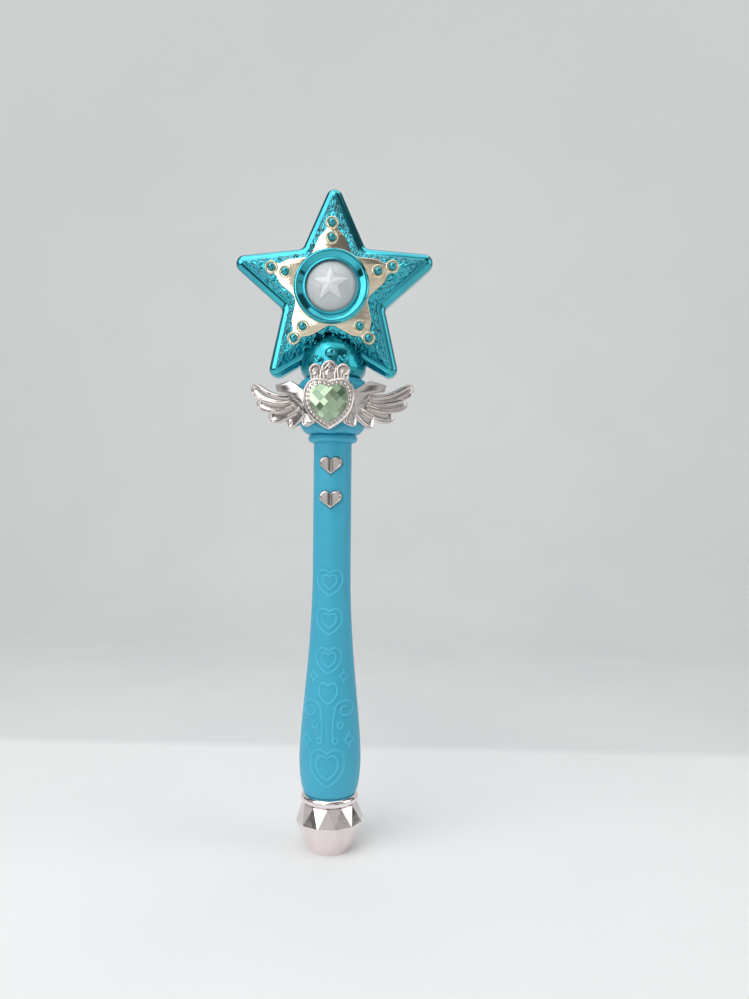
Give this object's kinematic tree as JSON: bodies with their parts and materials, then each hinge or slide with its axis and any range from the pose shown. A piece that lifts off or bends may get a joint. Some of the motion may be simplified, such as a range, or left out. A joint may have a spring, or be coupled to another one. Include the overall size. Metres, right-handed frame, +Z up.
{
  "type": "toy magic wand",
  "caption": "Toy wand with a plated star head that lights up, a winged heart crest, a slim grip with heart push buttons and a faceted end cap.",
  "frame": {"origin": "centre of the end cap's flat foot, on which the wand stands", "axes": "+Z up along the grip to the star, -Y out of the star's front face, +X to the right seen from the front"},
  "size_m": [0.1018, 0.0444, 0.3397],
  "materials": {
    "grip_plastic": "light blue moulded plastic, satin, raised ornaments",
    "star_plating": "plastic with teal vacuum plating, mirror bright",
    "stud_plating": "plastic with dark teal vacuum plating",
    "gold_plating": "plastic with pale gold vacuum plating",
    "silver_plating": "plastic with silver vacuum plating",
    "frosted_lens": "milky translucent plastic",
    "green_stone": "clear green faceted acrylic with a foil back",
    "screw_steel": "zinc plated steel",
    "circuit_board": "green solder mask",
    "lamp_clear": "clear epoxy",
    "switch_black": "black plastic",
    "switch_body": "black plastic with a steel cover",
    "chip_black": "black epoxy",
    "speaker_black": "black frame and cone",
    "cell_can": "plain sleeved dry cell",
    "contact_steel": "nickel plated spring steel",
    "lead_white": "plastic insulation",
    "lead_red": "plastic insulation",
    "lead_yellow": "plastic insulation"
  },
  "bodies": {
    "wand": {"end_cap": "silver_plating", "handle_front_shell": "grip_plastic", "handle_rear_shell": "grip_plastic", "handle_screws": "screw_steel", "neck_socket": "star_plating", "star_front_shell": "star_plating", "star_rear_shell": "star_plating", "star_screws": "screw_steel", "gold_star_plate": "gold_plating", "star_gems": "stud_plating", "lens_ring": "star_plating", "lens_dome": "frosted_lens", "led_board": "circuit_board", "star_led": "lamp_clear", "crest_wings": "silver_plating", "heart_frame": "silver_plating", "heart_gem": "green_stone", "switch_upper": "switch_body", "switch_lower": "switch_body", "main_board": "circuit_board", "sound_chip": "chip_black", "speaker": "speaker_black", "battery_cells": "cell_can", "battery_contacts": "contact_steel", "led_lead": "lead_white", "battery_lead": "lead_red", "speaker_lead": "lead_yellow"},
    "button_upper_body": {"button_upper": "silver_plating", "switch_stem_upper": "switch_black"},
    "button_lower_body": {"button_lower": "silver_plating", "switch_stem_lower": "switch_black"},
    "door_body": {"battery_door": "grip_plastic", "battery_door_screw": "screw_steel"}
  },
  "joints": [
    {"name": "button_upper_press", "type": "slide", "parent": "wand", "child": "button_upper_body", "axis": [0, 1, 0], "range_m": [0, 0.0006], "stiffness_N_per_m": 1500},
    {"name": "button_lower_press", "type": "slide", "parent": "wand", "child": "button_lower_body", "axis": [0, 1, 0], "range_m": [0, 0.0006], "stiffness_N_per_m": 1500},
    {"name": "battery_door_lift", "type": "slide", "parent": "wand", "child": "door_body", "axis": [0, 1, 0], "range_m": [0, 0.02]}
  ]
}
